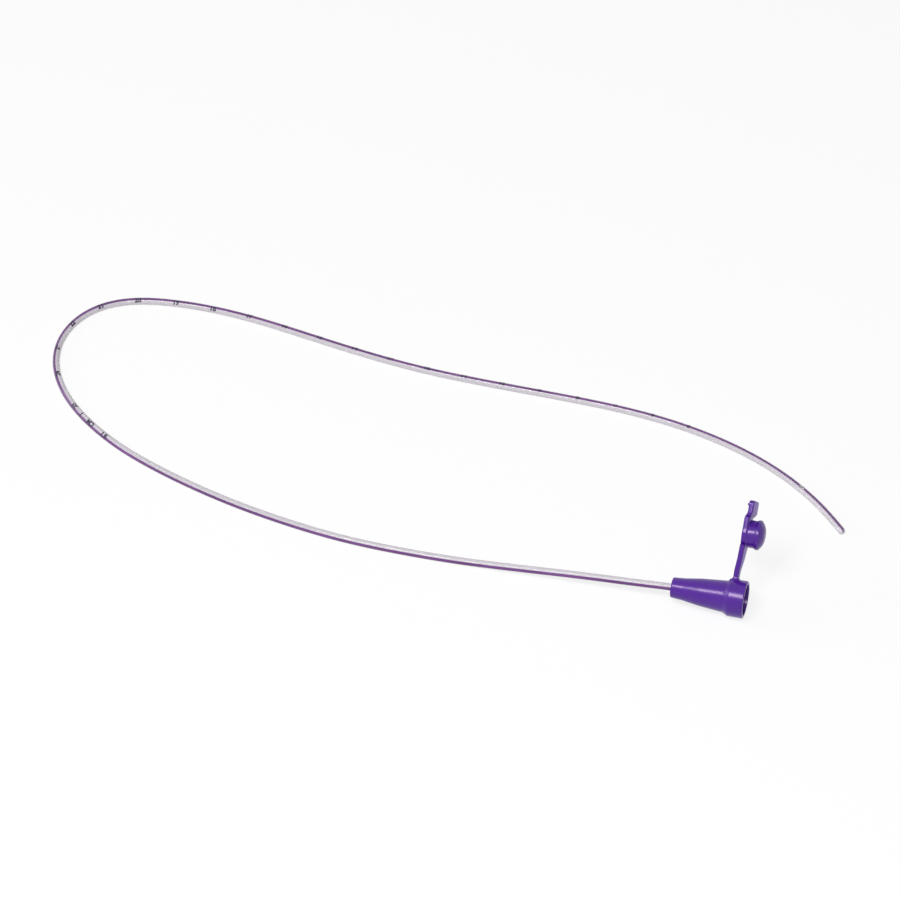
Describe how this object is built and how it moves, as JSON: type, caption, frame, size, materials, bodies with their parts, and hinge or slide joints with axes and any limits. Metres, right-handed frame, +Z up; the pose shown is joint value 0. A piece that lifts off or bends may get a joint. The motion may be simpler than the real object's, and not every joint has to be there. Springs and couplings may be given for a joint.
{
  "type": "feeding tube",
  "caption": "Soft clear feeding tube with side eyes behind a closed round tip, bonded into a moulded purple funnel connector whose push-in cap hangs on a strap.",
  "frame": {"origin": "on the table, centred under the box of the connector and its open cap", "axes": "+X along the funnel's axis, out of its mouth; +Z up from the table"},
  "size_m": [0.2101, 0.0816, 0.0246],
  "materials": {
    "clear_tube": "clear soft PVC with a purple line along it and printed centimetre numbers",
    "purple_connector": "semi-gloss moulded soft PVC"
  },
  "bodies": {
    "connector": {"funnel_connector": "purple_connector", "feeding_tube": "clear_tube"},
    "strap": {"cap_strap": "purple_connector"},
    "cap": {"cap": "purple_connector"}
  },
  "joints": [
    {"name": "strap_fold", "type": "hinge", "parent": "connector", "child": "strap", "pos_m": [0.00562, -0.00293, 0.00935], "axis": [0, 0.7071, -0.7071], "range_deg": [-10, 90], "stiffness_Nm_per_rad": 0.001},
    {"name": "cap_fold", "type": "hinge", "parent": "strap", "child": "cap", "pos_m": [0.00598, -0.00071, 0.01158], "axis": [0, 0.7071, -0.7071], "range_deg": [-10, 90], "stiffness_Nm_per_rad": 0.001}
  ],
  "couplings": [
    {"joint": "cap_fold", "follows": "strap_fold", "ratio": 1}
  ]
}
